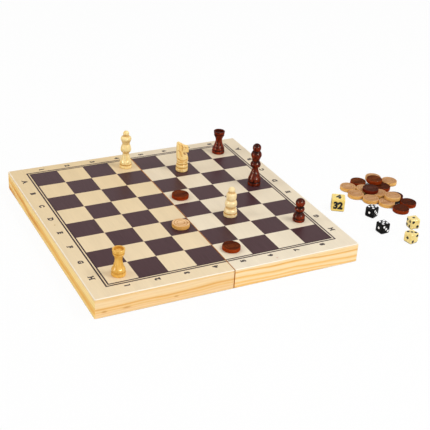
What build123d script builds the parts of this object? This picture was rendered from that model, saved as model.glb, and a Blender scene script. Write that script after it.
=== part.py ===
from build123d import *
import os
from math import atan2, cos, hypot, pi, radians, sin

# Games compendium: a wooden case hinged along its middle. Opened flat it is a chess
# board standing on its rims, and its two hollow halves face down. The chessmen,
# draughts, dice and doubling cube that live inside it are out on the board and table.
#
# Frame: +X runs along the front edge, +Y to the back, +Z up. The origin is in the
# middle of the fold, on the plane of the rims, which is also the table's surface.
# The printed squares sit a little behind the middle, so the front margin is the wider.

# ---- driving dimensions, millimetres ----
square = 36.5
squares_across = 8
side_margin = 25.7
front_margin = 25.2
back_margin = 20.2
case_height = 25.0
panel_thickness = 3.0
rail_thickness = 10.0
fold_gap = 0.3
corner_radius = 1.2
edge_radius = 0.9
rim_radius = 0.4

board_width = squares_across * square + 2 * side_margin
board_length = squares_across * square + front_margin + back_margin
half_width = board_width / 2 - fold_gap / 2
rail_height = case_height - panel_thickness
fold_face = fold_gap / 2
outer_face = fold_face + half_width
half_length = board_length / 2

# ---- butt hinges, let into the rims at the fold ----
hinge_stations = [-100.0, 100.0]
leaf_length = 26.0
leaf_reach = 9.0
leaf_root = 0.7
leaf_thickness = 1.0
leaf_depth = 0.1
barrel_radius = 1.1
pin_radius = 0.5
pin_clearance = 0.05
knuckle_gap = 0.2
knuckle_room = 0.3
mortise_room = 0.1
screw_inset = 5.4
screw_offset = 9.0
screw_head_radius = 1.7
screw_head_height = 0.9
screw_shank_radius = 0.8
screw_length = 7.0
screw_room = 0.05
slot_width = 0.4
slot_depth = 0.25

# ---- closing magnets, sunk in the outer rims ----
magnet_radius = 4.0
magnet_thickness = 3.0
magnet_depth = 0.1
magnet_room = 0.05
magnet_stations = [-60.0, 60.0]

# ---- loose pieces ----
rest_gap = 0.05
draught_radius = 11.2
draught_thickness = 5.3
draught_round = 0.8
rim_width = 1.7
groove_width = 0.7
groove_depth = 0.35
inner_groove = 5.2
die_size = 13.6
die_round = 1.7
pip_radius = 1.35
pip_depth = 0.4
pip_spacing = 3.4
cube_size = 18.0
cube_round = 1.5
knight_turn = -20.0
light_rook_girth = 0.93

board_level = case_height + rest_gap
table_level = 0.0
second_layer = draught_thickness + rest_gap

os.makedirs("parts", exist_ok=True)


def save(part, name):
    part.label = name
    export_step(part, f"parts/{name}.step")


# ---- case: each half is four mitred rails under a thin printed panel ----
def half_centre(side):
    return side * (fold_face + half_width / 2)


def rail_outlines(side):
    """Plan of each mitred rail of one half: its two outer corners, then two inner ones."""
    fold, outer = side * fold_face, side * outer_face
    fold_in, outer_in = fold + side * rail_thickness, outer - side * rail_thickness
    front, back = -half_length, half_length
    front_in, back_in = front + rail_thickness, back - rail_thickness
    return {
        "front_rail": [(fold, front), (outer, front), (outer_in, front_in), (fold_in, front_in)],
        "back_rail": [(fold, back), (outer, back), (outer_in, back_in), (fold_in, back_in)],
        "outer_rail": [(outer, front), (outer, back), (outer_in, back_in), (outer_in, front_in)],
        "fold_rail": [(fold, front), (fold, back), (fold_in, back_in), (fold_in, front_in)],
    }


def screw_places(side):
    return [
        (side * screw_inset, station + offset)
        for station in hinge_stations
        for offset in (-screw_offset, screw_offset)
    ]


def magnet_places(side):
    return [(side * (outer_face - rail_thickness / 2), station) for station in magnet_stations]


def cut_hinge_seats(side):
    """Mortise for each leaf, a hollow for its barrel and pilot holes for its screws."""
    depth = leaf_depth + leaf_thickness + mortise_room
    reach = leaf_reach + mortise_room
    for station in hinge_stations:
        with Locations((side * reach / 2, station, depth / 2)):
            Box(reach, leaf_length + 2 * mortise_room, depth, mode=Mode.SUBTRACT)
        with Locations(Location((0, station, 0), (90, 0, 0))):
            Cylinder(
                barrel_radius + knuckle_room,
                leaf_length + 2 * mortise_room,
                mode=Mode.SUBTRACT,
            )
    pilot = screw_length + 2 * screw_room
    for x, y in screw_places(side):
        with Locations((x, y, depth + pilot / 2)):
            Cylinder(screw_shank_radius + screw_room, pilot, mode=Mode.SUBTRACT)


def cut_magnet_pockets(side):
    depth = magnet_depth + magnet_thickness + magnet_room
    for x, y in magnet_places(side):
        with Locations((x, y, depth / 2)):
            Cylinder(magnet_radius + magnet_room, depth, mode=Mode.SUBTRACT)


def square_fold_edge(side):
    """The rim keeps its square edge along the fold, where the two halves' rims meet."""
    with Locations((side * (fold_face + rim_radius / 2), 0, rim_radius / 2)):
        Box(rim_radius, board_length - 2 * corner_radius, rim_radius)


def make_rail(side, side_name, rail_name, outline):
    with BuildPart() as rail:
        with BuildSketch(Plane((half_centre(side), 0, 0))):
            RectangleRounded(half_width, board_length, corner_radius)
            Rectangle(
                half_width - 2 * rail_thickness,
                board_length - 2 * rail_thickness,
                mode=Mode.SUBTRACT,
            )
        extrude(amount=rail_height)
        fillet(rail.edges().group_by(Axis.Z)[0], rim_radius)
        square_fold_edge(side)
        with BuildSketch(Plane.XY):
            Polygon(*outline, align=None)
        extrude(amount=rail_height, mode=Mode.INTERSECT)
        if rail_name == "fold_rail":
            cut_hinge_seats(side)
        if rail_name == "outer_rail":
            cut_magnet_pockets(side)
    save(rail.part, f"{side_name}_{rail_name}")


def make_panel(side, side_name):
    with BuildPart() as panel:
        with BuildSketch(Plane((half_centre(side), 0, rail_height))):
            RectangleRounded(half_width, board_length, corner_radius)
        extrude(amount=panel_thickness)
        fillet(panel.edges().group_by(Axis.Z)[-1], edge_radius)
    save(panel.part, f"{side_name}_panel")


# ---- hinges ----
knuckle_length = leaf_length / 3


def knuckle_centres(side, station):
    """The right leaf has the two end knuckles, and the left leaf the middle one."""
    if side > 0:
        return [station - knuckle_length, station + knuckle_length]
    return [station]


def make_leaf(side, side_name, station, number):
    with BuildPart() as leaf:
        width = leaf_reach - leaf_root
        with Locations((side * (leaf_root + width / 2), station, leaf_depth + leaf_thickness / 2)):
            Box(width, leaf_length, leaf_thickness)
        notch = barrel_radius + knuckle_room
        for y in knuckle_centres(-side, station):
            with Locations((side * notch / 2, y, leaf_depth + leaf_thickness / 2)):
                Box(notch, knuckle_length + knuckle_gap, leaf_thickness, mode=Mode.SUBTRACT)
        for y in knuckle_centres(side, station):
            with Locations(Location((0, y, 0), (90, 0, 0))):
                Cylinder(barrel_radius, knuckle_length - knuckle_gap)
        with Locations(Location((0, station, 0), (90, 0, 0))):
            Cylinder(pin_radius + pin_clearance, leaf_length, mode=Mode.SUBTRACT)
        for offset in (-screw_offset, screw_offset):
            with Locations((side * screw_inset, station + offset, leaf_depth + screw_head_height / 2)):
                Cone(
                    screw_head_radius + screw_room,
                    screw_shank_radius + screw_room,
                    screw_head_height,
                    mode=Mode.SUBTRACT,
                )
            with Locations((side * screw_inset, station + offset, leaf_thickness)):
                Cylinder(screw_shank_radius + screw_room, leaf_thickness, mode=Mode.SUBTRACT)
    save(leaf.part, f"hinge_{number}_{side_name}_leaf")


def make_hinge_pin(station, number):
    with BuildPart() as pin:
        with Locations(Location((0, station, 0), (90, 0, 0))):
            Cylinder(pin_radius, leaf_length)
    save(pin.part, f"hinge_{number}_pin")


def make_screws(side, side_name):
    """Countersunk slotted wood screws, heads just below the leaf's face."""
    head_face = leaf_depth + screw_room
    with BuildPart() as screws:
        for x, y in screw_places(side):
            with Locations((x, y, head_face + screw_head_height / 2)):
                Cone(screw_head_radius, screw_shank_radius, screw_head_height)
            with Locations((x, y, head_face + screw_head_height)):
                Cylinder(
                    screw_shank_radius,
                    screw_length - screw_head_height,
                    align=(Align.CENTER, Align.CENTER, Align.MIN),
                )
            with Locations((x, y, head_face + slot_depth / 2)):
                Box(2 * screw_head_radius, slot_width, slot_depth, mode=Mode.SUBTRACT)
    save(screws.part, f"{side_name}_hinge_screws")


def make_magnets(side, side_name):
    with BuildPart() as magnets:
        for x, y in magnet_places(side):
            with Locations((x, y, magnet_depth + magnet_thickness / 2)):
                Cylinder(magnet_radius, magnet_thickness)
    save(magnets.part, f"{side_name}_magnets")


# ---- turned pieces ----
# A turned outline is a list of stations (radius, height, bulge). The bulge is how far
# the line from the station before swells out (a bead) or in (a cove) at its middle.
# ROUND closes the outline with an arc whose centre is on the turning axis.
ROUND = "round"
KING = [
    (8.3, 0.0, 0), (8.7, 0.6, 0.1), (8.7, 4.4, 0.15), (7.9, 5.1, 0), (7.9, 5.6, 0),
    (8.5, 6.4, 0.1), (8.2, 10.6, 0.25), (5.9, 17.6, -0.2), (3.9, 24.4, -0.3), (3.8, 25.6, 0),
    (5.9, 27.0, 0.2), (6.9, 29.5, 0.3), (6.3, 32.5, 0.3), (4.9, 34.6, 0.1), (4.8, 35.8, -0.1),
    (6.9, 42.2, -0.2), (7.2, 44.0, 0.1), (6.0, 47.9, 0.3), (4.8, 49.3, 0.1), (4.8, 50.2, -0.1),
    (5.5, 52.2, 0), (5.7, 54.0, 0.05), (0, 60.1, ROUND),
]
QUEEN = [
    (7.9, 0.0, 0), (8.3, 0.6, 0.1), (8.3, 4.2, 0.15), (7.6, 4.9, 0), (7.6, 5.3, 0),
    (8.1, 6.0, 0.1), (7.8, 9.6, 0.2), (5.7, 15.6, -0.3), (4.3, 20.6, -0.1), (4.2, 21.8, -0.1),
    (6.3, 24.0, 0.2), (7.3, 27.2, 0.3), (6.5, 31.4, 0.1), (5.2, 34.2, 0.15), (5.1, 35.2, -0.1),
    (6.9, 41.0, -0.1), (7.3, 43.0, 0.15), (6.2, 45.6, 0.3), (3.6, 46.9, 0.1), (3.4, 47.6, 0),
    (0, 54.2, ROUND),
]
BISHOP = [
    (8.3, 0.0, 0), (8.7, 0.6, 0.1), (8.7, 3.8, 0.15), (7.9, 4.5, 0), (7.9, 4.9, 0),
    (8.3, 5.7, 0.1), (7.9, 8.6, 0.2), (6.0, 11.6, 0.3), (5.8, 12.4, -0.1),
    (7.3, 14.4, 0.3), (7.7, 17.0, 0.2), (6.8, 20.8, 0.3), (5.9, 22.2, 0.1), (5.8, 22.9, -0.1),
    (6.4, 25.4, 0.15), (6.5, 28.6, 0.15), (6.0, 31.0, 0.3), (3.9, 32.6, 0.3), (3.7, 33.4, 0),
    (0, 40.2, ROUND),
]
ROOK = [
    (8.6, 0.0, 0), (9.0, 0.6, 0.1), (8.9, 4.3, 0.15), (8.3, 4.9, 0), (8.3, 5.3, 0),
    (8.6, 6.1, 0.1), (8.2, 8.8, 0.2), (5.6, 15.0, -0.4), (4.7, 19.4, -0.2), (4.8, 21.4, -0.1),
    (7.0, 26.6, -0.3), (7.4, 28.0, 0.1), (7.4, 28.5, 0), (7.0, 28.8, 0), (7.0, 29.3, 0),
    (7.5, 29.7, 0), (7.9, 32.9, 0.1), (7.8, 33.7, 0.1), (6.3, 33.7, 0), (5.8, 31.4, 0),
    (0, 31.2, 0),
]
PAWN = [
    (7.3, 0.0, 0), (7.75, 0.6, 0.1), (7.75, 3.4, 0.15), (7.2, 4.0, 0), (7.2, 4.5, 0),
    (7.6, 5.3, 0.1), (7.4, 7.6, 0.2), (5.7, 10.4, 0.3), (4.0, 12.2, 0.1), (4.0, 13.2, -0.1),
    (5.6, 14.8, 0.2), (6.2, 16.8, 0.25), (5.3, 19.0, 0.2), (4.5, 19.8, 0), (4.5, 20.6, 0),
    (4.4, 21.0, 0), (0, 31.4, ROUND),
]
KNIGHT_FOOT = [
    (8.0, 0.0, 0), (8.4, 0.6, 0.1), (8.4, 4.8, 0.15), (7.7, 5.5, 0), (7.7, 6.0, 0),
    (8.1, 6.8, 0.1), (7.9, 9.8, 0.25), (7.0, 10.5, 0), (7.0, 11.0, 0), (7.5, 11.7, 0.1),
    (7.3, 14.5, 0.25), (6.9, 15.3, 0), (0, 15.3, 0),
]
# The horse's head from the side, nose to +X, each point (along, height).
KNIGHT_NECK_START = (-7.2, 15.0)
KNIGHT_BACK = [(-8.1, 21.0), (-8.5, 30.0), (-8.5, 37.5), (-8.2, 40.6)]
KNIGHT_FACE = [
    (-6.0, 42.3), (-4.2, 41.2), (-1.3, 39.7), (0.9, 38.0), (3.2, 37.0), (6.4, 36.6),
    (7.9, 35.2), (8.2, 30.8), (7.8, 27.4), (5.0, 26.6), (2.4, 27.0), (1.4, 25.6), (3.8, 24.5),
]
KNIGHT_CHEST = [(6.6, 23.2), (7.9, 20.2), (7.6, 16.8), (6.6, 15.0)]
knight_cheek = 4.4
knight_brow = 2.9
knight_shoulder = 6.6


def bulge_middle(here, there, bulge):
    along, up = there[0] - here[0], there[1] - here[1]
    length = hypot(along, up)
    return (
        (here[0] + there[0]) / 2 + bulge * up / length,
        (here[1] + there[1]) / 2 - bulge * along / length,
    )


def round_middle(here, top):
    """Middle of the arc from here to the axis at top, with its centre on the axis."""
    radius, height = here
    centre = (top ** 2 - height ** 2 - radius ** 2) / (2 * (top - height))
    turn = (atan2(height - centre, radius) + pi / 2) / 2
    return ((top - centre) * cos(turn), centre + (top - centre) * sin(turn))


def turned_profile(outline, place):
    """Half section of a turned piece, standing on place, a plane lying flat."""
    with BuildSketch(Plane(place.origin, x_dir=place.x_dir, z_dir=-place.y_dir)) as profile:
        with BuildLine():
            here = (0.0, 0.0)
            for radius, height, bulge in outline:
                there = (radius, height)
                if bulge == 0:
                    Line(here, there)
                elif bulge == ROUND:
                    ThreePointArc(here, round_middle(here, height), there)
                else:
                    ThreePointArc(here, bulge_middle(here, there, bulge), there)
                here = there
            Line(here, (0.0, 0.0))
        make_face()
    return profile.sketch


def flat_place(x, y, level, turn=0.0):
    x_dir = (cos(radians(turn)), sin(radians(turn)), 0)
    return Plane((x, y, level), x_dir=x_dir, z_dir=(0, 0, 1))


def slimmer(outline, girth):
    """The same outline as turned by hand from a thinner stick."""
    return [(radius * girth, height, bulge) for radius, height, bulge in outline]


def make_turned(name, outline, x, y, level):
    profile = turned_profile(outline, flat_place(x, y, level))
    with BuildPart() as piece:
        revolve(profile, axis=Axis((x, y, level), (0, 0, 1)))
    save(piece.part, name)


def make_knight(name, x, y, level):
    """A turned foot, and a head sawn from the same stick, tapered to the ears."""
    place = flat_place(x, y, level, knight_turn)
    side_view = Plane(place.origin, x_dir=place.x_dir, z_dir=-place.y_dir)
    front_view = Plane(place.origin, x_dir=place.y_dir, z_dir=place.x_dir)
    radius = KNIGHT_FOOT[2][0]
    foot_top = KNIGHT_NECK_START[1]
    brow_level = KNIGHT_BACK[-1][1]
    cheek_level = KNIGHT_FACE[8][1]
    foot = turned_profile(KNIGHT_FOOT, place)
    with BuildPart() as piece:
        with BuildSketch(side_view):
            with BuildLine():
                back = Spline(KNIGHT_NECK_START, *KNIGHT_BACK)
                face = Polyline(back @ 1, *KNIGHT_FACE)
                chest = Spline(face @ 1, *KNIGHT_CHEST)
                Line(chest @ 1, back @ 0)
            make_face()
        extrude(amount=radius, both=True)
        with BuildSketch(front_view):
            Polygon(
                (-knight_shoulder, foot_top), (knight_shoulder, foot_top),
                (knight_cheek, cheek_level), (knight_brow, brow_level + 2),
                (-knight_brow, brow_level + 2), (-knight_cheek, cheek_level),
                align=None,
            )
        extrude(amount=2 * radius, both=True, mode=Mode.INTERSECT)
        with BuildSketch(place):
            Circle(radius + 0.4)
        extrude(amount=brow_level + 2, mode=Mode.INTERSECT)
        revolve(foot, axis=Axis((x, y, level), (0, 0, 1)))
    save(piece.part, name)


def draught_outline():
    """Rounded edge, then a rim, a turned groove and a ring, the same on both faces."""
    rim = draught_radius - draught_round - rim_width
    stations = [
        (inner_groove - groove_width, 0, 0),
        (inner_groove - groove_width / 2, groove_depth, 0),
        (inner_groove, 0, 0),
        (rim - groove_width, 0, 0),
        (rim - groove_width / 2, groove_depth, 0),
        (rim, 0, 0),
        (draught_radius - draught_round, 0, 0),
    ]
    quarter_bulge = draught_round * (1 - 0.5 ** 0.5)
    lower = stations + [(draught_radius, draught_round, quarter_bulge)]
    upper = [(draught_radius, draught_thickness - draught_round, 0)]
    upper += [(draught_radius - draught_round, draught_thickness, quarter_bulge)]
    upper += [(radius, draught_thickness - height, 0) for radius, height, _ in reversed(stations[:-1])]
    return lower + upper + [(0, draught_thickness, 0)]


# ---- dice and doubling cube ----
def pip_spots(value, slant):
    """Pip centres on one face, in units of the pip spacing. Slant turns a diagonal."""
    diagonal = [(-1, slant), (1, -slant)]
    others = [(-1, -slant), (1, slant)]
    spots = [(0, 0)] if value % 2 else []
    if value > 1:
        spots += diagonal
    if value > 3:
        spots += others
    if value == 6:
        spots += [(-1, 0), (1, 0)]
    return spots


def die_faces(place, size):
    """Planes of a cube's six faces, outward, for a cube standing on place."""
    x_dir, y_dir, z_dir = place.x_dir, place.y_dir, place.z_dir
    centre = place.origin + z_dir * (size / 2)
    reach = size / 2
    return {
        "top": Plane(centre + z_dir * reach, x_dir=x_dir, z_dir=z_dir),
        "bottom": Plane(centre - z_dir * reach, x_dir=x_dir, z_dir=-z_dir),
        "left": Plane(centre - x_dir * reach, x_dir=-y_dir, z_dir=-x_dir),
        "right": Plane(centre + x_dir * reach, x_dir=y_dir, z_dir=x_dir),
        "front": Plane(centre - y_dir * reach, x_dir=x_dir, z_dir=-y_dir),
        "back": Plane(centre + y_dir * reach, x_dir=-x_dir, z_dir=y_dir),
    }


def make_die(name, x, y, turn, top, left, front):
    """Opposite faces add up to seven. Each shown face is (value, slant)."""
    place = flat_place(x, y, table_level, turn)
    shown = {"top": top, "left": left, "front": front}
    opposite = {"top": "bottom", "left": "right", "front": "back"}
    values = dict(shown)
    for face, (value, slant) in shown.items():
        values[opposite[face]] = (7 - value, slant)
    ball_radius = (pip_radius ** 2 + pip_depth ** 2) / (2 * pip_depth)
    faces = die_faces(place, die_size)
    with BuildPart() as die:
        with Locations(place):
            Box(die_size, die_size, die_size, align=(Align.CENTER, Align.CENTER, Align.MIN))
        fillet(die.edges(), die_round)
        for face, (value, slant) in values.items():
            for u, v in pip_spots(value, slant):
                spot = Location((u * pip_spacing, v * pip_spacing, ball_radius - pip_depth))
                with Locations(faces[face].location * spot):
                    Sphere(ball_radius, mode=Mode.SUBTRACT)
    save(die.part, name)


def make_doubling_cube(name, x, y, turn):
    with BuildPart() as cube:
        with Locations(flat_place(x, y, table_level, turn)):
            Box(cube_size, cube_size, cube_size, align=(Align.CENTER, Align.CENTER, Align.MIN))
        fillet(cube.edges(), cube_round)
    save(cube.part, name)


# ---- build the case ----
for side, side_name in ((1, "right"), (-1, "left")):
    for rail_name, outline in rail_outlines(side).items():
        make_rail(side, side_name, rail_name, outline)
    make_panel(side, side_name)
    make_screws(side, side_name)
    make_magnets(side, side_name)
    for number, station in enumerate(hinge_stations, start=1):
        make_leaf(side, side_name, station, number)
for number, station in enumerate(hinge_stations, start=1):
    make_hinge_pin(station, number)

# ---- chessmen and draughts standing on the board, by the centre of each base ----
make_turned("chess_king_dark", KING, 127.2, 20.6, board_level)
make_turned("chess_queen_light", QUEEN, -16.7, 129.5, board_level)
make_turned("chess_bishop_light", BISHOP, 55.6, -47.5, board_level)
make_knight("chess_knight_light", 52.5, 93.8, board_level)
make_turned("chess_rook_dark", ROOK, 127.0, 129.6, board_level)
make_turned("chess_rook_light", slimmer(ROOK, light_rook_girth), -128.6, -128.8, board_level)
make_turned("chess_pawn_dark", PAWN, 131.8, -90.4, board_level)

BOARD_DRAUGHTS = {
    "draught_light": (-15.8, -51.9),
    "draught_dark_1": (16.3, 19.7),
    "draught_dark_2": (17.7, -124.1),
}
for name, (x, y) in BOARD_DRAUGHTS.items():
    make_turned(name, draught_outline(), x, y, board_level)

# ---- heap of draughts on the table to the right, (x, y, lies on others) ----
HEAP_LIGHT = [
    (272.4, 3.8, False), (270.3, -19.3, False), (290.6, -9.4, False), (282.4, -38.6, False),
    (303.3, -28.4, False), (297.3, -55.8, False), (309.6, -51.0, True), (340.2, -1.0, False),
    (325.0, 17.4, False),
]
HEAP_DARK = [
    (295.7, 12.8, False), (315.6, 1.9, True), (293.1, -21.3, True), (320.1, -12.9, False),
    (320.2, -43.6, False), (325.7, -66.9, False), (305.0, -78.4, False),
]
for colour, heap in (("light", HEAP_LIGHT), ("dark", HEAP_DARK)):
    for number, (x, y, stacked) in enumerate(heap, start=1):
        level = second_layer if stacked else table_level
        make_turned(f"heap_draught_{colour}_{number}", draught_outline(), x, y, level)

# ---- dice, (x, y, turn, then the faces seen from the front left) ----
make_die("die_black_1", 258.8, -74.8, 23.1, top=(5, 1), left=(1, 1), front=(3, 1))
make_die("die_black_2", 246.9, -117.0, 4.1, top=(5, 1), left=(1, 1), front=(3, 1))
make_die("die_cream_1", 293.2, -120.8, -8.4, top=(1, 1), left=(4, 1), front=(2, 1))
make_die("die_cream_2", 266.9, -152.0, 9.4, top=(3, 1), left=(1, 1), front=(2, -1))
make_doubling_cube("doubling_cube", 225.8, -40.9, -31.4)
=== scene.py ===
# %% [markdown]
# # A games compendium box, opened flat as a chess board
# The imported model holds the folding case, its hinges and every loose piece at their real
# size. This lesson gives each of them the finish of the wood, plastic or metal it is
# made of, and adds what is too fine for the model: the printed margins, the carved
# knight, the pips, the numbers of the doubling cube and the backgammon field inside.

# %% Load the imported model
import math

import bpy
from mathutils import Matrix, Vector


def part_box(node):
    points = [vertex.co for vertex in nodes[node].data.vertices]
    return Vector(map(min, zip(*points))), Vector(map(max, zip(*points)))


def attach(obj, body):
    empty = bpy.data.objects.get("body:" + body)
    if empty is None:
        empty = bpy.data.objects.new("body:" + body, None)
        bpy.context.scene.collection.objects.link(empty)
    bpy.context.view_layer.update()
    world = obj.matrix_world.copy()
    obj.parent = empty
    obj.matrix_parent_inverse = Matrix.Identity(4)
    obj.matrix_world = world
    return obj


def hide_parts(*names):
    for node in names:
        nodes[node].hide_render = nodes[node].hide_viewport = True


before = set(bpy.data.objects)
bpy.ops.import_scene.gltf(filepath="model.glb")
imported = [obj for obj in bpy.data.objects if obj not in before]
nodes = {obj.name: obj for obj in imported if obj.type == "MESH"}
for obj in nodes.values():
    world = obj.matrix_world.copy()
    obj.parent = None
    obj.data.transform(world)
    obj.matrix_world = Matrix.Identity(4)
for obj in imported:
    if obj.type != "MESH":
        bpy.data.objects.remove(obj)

# lengths are in millimetres, unless a comment gives metres, and MM turns them into metres
MM = 0.001
SQUARE = 36.5
GRID_EDGE = 4 * SQUARE
# the grid's middle lies a little behind the board's
GRID_BACK = 2.5
BOARD_HALF_WIDTH, BOARD_HALF_LENGTH = 171.7, 168.7
BOARD_TOP = 25.0
PANEL_UNDERSIDE = 22.0
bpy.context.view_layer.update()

# %% [markdown]
# ## The camera
# The board is seen from its front left, from above, with a long lens, so that its
# edges stay nearly parallel. The heading is counted from the back direction towards the
# right, and the small roll is that of a camera held not quite level.

# %% Place the camera
CAMERA_PLACE = (-472.41, -991.54, 605.57)
CAMERA_HEADING, CAMERA_PITCH, CAMERA_ROLL = 28.2, 28.28, 3.74
CAMERA_LENS, SENSOR_WIDTH = 80.52, 36.0
# in metres, well beyond the table
FARTHEST_SEEN = 30.0

camera_data = bpy.data.cameras.new("camera")
camera_data.lens = CAMERA_LENS
camera_data.sensor_width = SENSOR_WIDTH
camera_data.clip_end = FARTHEST_SEEN
camera = bpy.data.objects.new("camera", camera_data)
bpy.context.scene.collection.objects.link(camera)
camera.matrix_world = (
    Matrix.Translation(Vector(CAMERA_PLACE) * MM)
    @ Matrix.Rotation(math.radians(-CAMERA_HEADING), 4, "Z")
    @ Matrix.Rotation(math.radians(90 - CAMERA_PITCH), 4, "X")
    @ Matrix.Rotation(math.radians(CAMERA_ROLL), 4, "Z")
)
bpy.context.scene.camera = camera
bpy.context.scene.view_settings.view_transform = "Standard"

# %% [markdown]
# ## Colours and shader nodes
# Colours are written as sRGB hex codes, as a colour card gives them, and one function
# turns them into the linear numbers that shaders use. One small helper adds a shader
# node with its settings, its plain values and its links, so that each material below
# reads as a list of what it is made of.


# %% Define the colour and node helpers
def linear(code):
    """An sRGB hex colour as linear RGBA."""
    parts = [int(code[start:start + 2], 16) / 255 for start in (1, 3, 5)]
    return (*(p / 12.92 if p <= 0.04045 else ((p + 0.055) / 1.055) ** 2.4 for p in parts), 1.0)


def connect(tree, source, socket):
    """Links a socket, or the first output that a node has in use, to a socket."""
    if isinstance(source, bpy.types.Node):
        source = next(output for output in source.outputs if output.enabled)
    tree.links.new(source, socket)


def add_node(tree, kind, settings=None, values=None, links=None, stops=None):
    """A node with its own settings, the values of its free sockets, its links and ramp stops."""
    node = tree.nodes.new("ShaderNode" + kind)
    for name, value in (settings or {}).items():
        setattr(node, name, value)
    for socket, value in (values or {}).items():
        node.inputs[socket].default_value = value
    for socket, source in (links or {}).items():
        connect(tree, source, node.inputs[socket])
    if stops:
        ramp = node.color_ramp.elements
        while len(ramp) < len(stops):
            ramp.new(0.5)
        for element, (place, tone) in zip(ramp, stops):
            element.position = place
            element.color = linear(tone) if isinstance(tone, str) else (tone, tone, tone, 1.0)
    return node


# settings that many nodes share, and the colour sockets of a Mix node, whose names repeat
SMOOTH = {"interpolation_type": "SMOOTHSTEP"}
COLOURS = {"data_type": "RGBA"}
MIX_FACTOR, MIX_A, MIX_B = 0, 6, 7


def span(low, high, first=0.0, last=1.0):
    """The values of a map range that gives first to last, from low to high."""
    return {"From Min": low, "From Max": high, "To Min": first, "To Max": last}


def start_material(name, **values):
    """A material, its tree, its shader and its Object coordinates in millimetres."""
    material = bpy.data.materials.new(name)
    material.use_nodes = True
    tree = material.node_tree
    shader = tree.nodes["Principled BSDF"]
    for socket, value in values.items():
        shader.inputs[socket.replace("_", " ")].default_value = value
    coordinates = add_node(tree, "TexCoord")
    millimetres = add_node(
        tree, "Mapping", values={"Scale": (1 / MM, 1 / MM, 1 / MM)},
        links={"Vector": coordinates.outputs["Object"]},
    )
    return material, tree, shader, millimetres


# %% Define what the surfaces share
# the values between which a noise mostly stays
NOISE_LOW, NOISE_HIGH = 0.3, 0.7


def streaks(tree, place, size, detail, roughness=0.5):
    """Noise with grains of this size along X, Y and Z."""
    stretched = add_node(
        tree, "Mapping", values={"Scale": [1 / side for side in size]}, links={"Vector": place}
    )
    return add_node(
        tree, "TexNoise", values={"Scale": 1.0, "Detail": detail, "Roughness": roughness},
        links={"Vector": stretched},
    )


def vary(tree, colour, noise, weakest, strongest):
    """Makes a colour weaker and stronger with a noise."""
    tone = add_node(
        tree, "MapRange", values=span(NOISE_LOW, NOISE_HIGH, weakest, strongest),
        links={"Value": noise},
    )
    return add_node(tree, "VectorMath", {"operation": "SCALE"}, links={0: colour, "Scale": tone})


def lay_on(tree, shader, colour, relief, strength, depth):
    """Gives a shader its colour, and a relief of this depth."""
    bump = add_node(
        tree, "Bump", values={"Strength": strength, "Distance": depth * MM},
        links={"Height": relief},
    )
    connect(tree, colour, shader.inputs["Base Color"])
    connect(tree, bump, shader.inputs["Normal"])


def finish_with(piece, material):
    """Gives a piece one finish."""
    piece.data.materials.clear()
    piece.data.materials.append(material)


# %% [markdown]
# ## Pine rails
# The sides of the case are slash-sawn pine. A rail is cut from a log some way from its
# heart, so its growth rings show as long bands: a wide pale stripe of spring wood and a
# narrow amber line of summer wood. The rings could be drawn as stripes, but then the
# end grain and the faces would not meet. Here they are rings about the log's own
# heart line, which a slow noise bends, and every face cuts them truly. Good and bad
# years leave rings of unlike width, so a ramp holds one run of them, tone by tone.


# %% Define pine
# the width of the run of growth rings that repeats through the log
RING_RUN = 25.0
# the size of the log's slow bends, how far they move the rings, and the size of a fibre
BEND_SIZE, BEND_SWAY, PINE_FIBRE = (70, 30, 18), 1.3, (26, 0.8, 0.8)
# a knot's depth, and how it fades: between which of its sizes, from how much to none
KNOT_DEPTH, KNOT_FADE = 30.0, (0.4, 1.6, 0.8, 0.0)
# painted shade of the seam gap: the sawn faces along the fold are browned: how far from the fold,
# and how much
FOLD_SEAM_SHADE = "#B86E08"
FOLD_SEAM_SHADE_SHARE = [(0.16, 0.4), (0.24, 1.0), (0.6, 1.0), (0.9, 0.0)]


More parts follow.
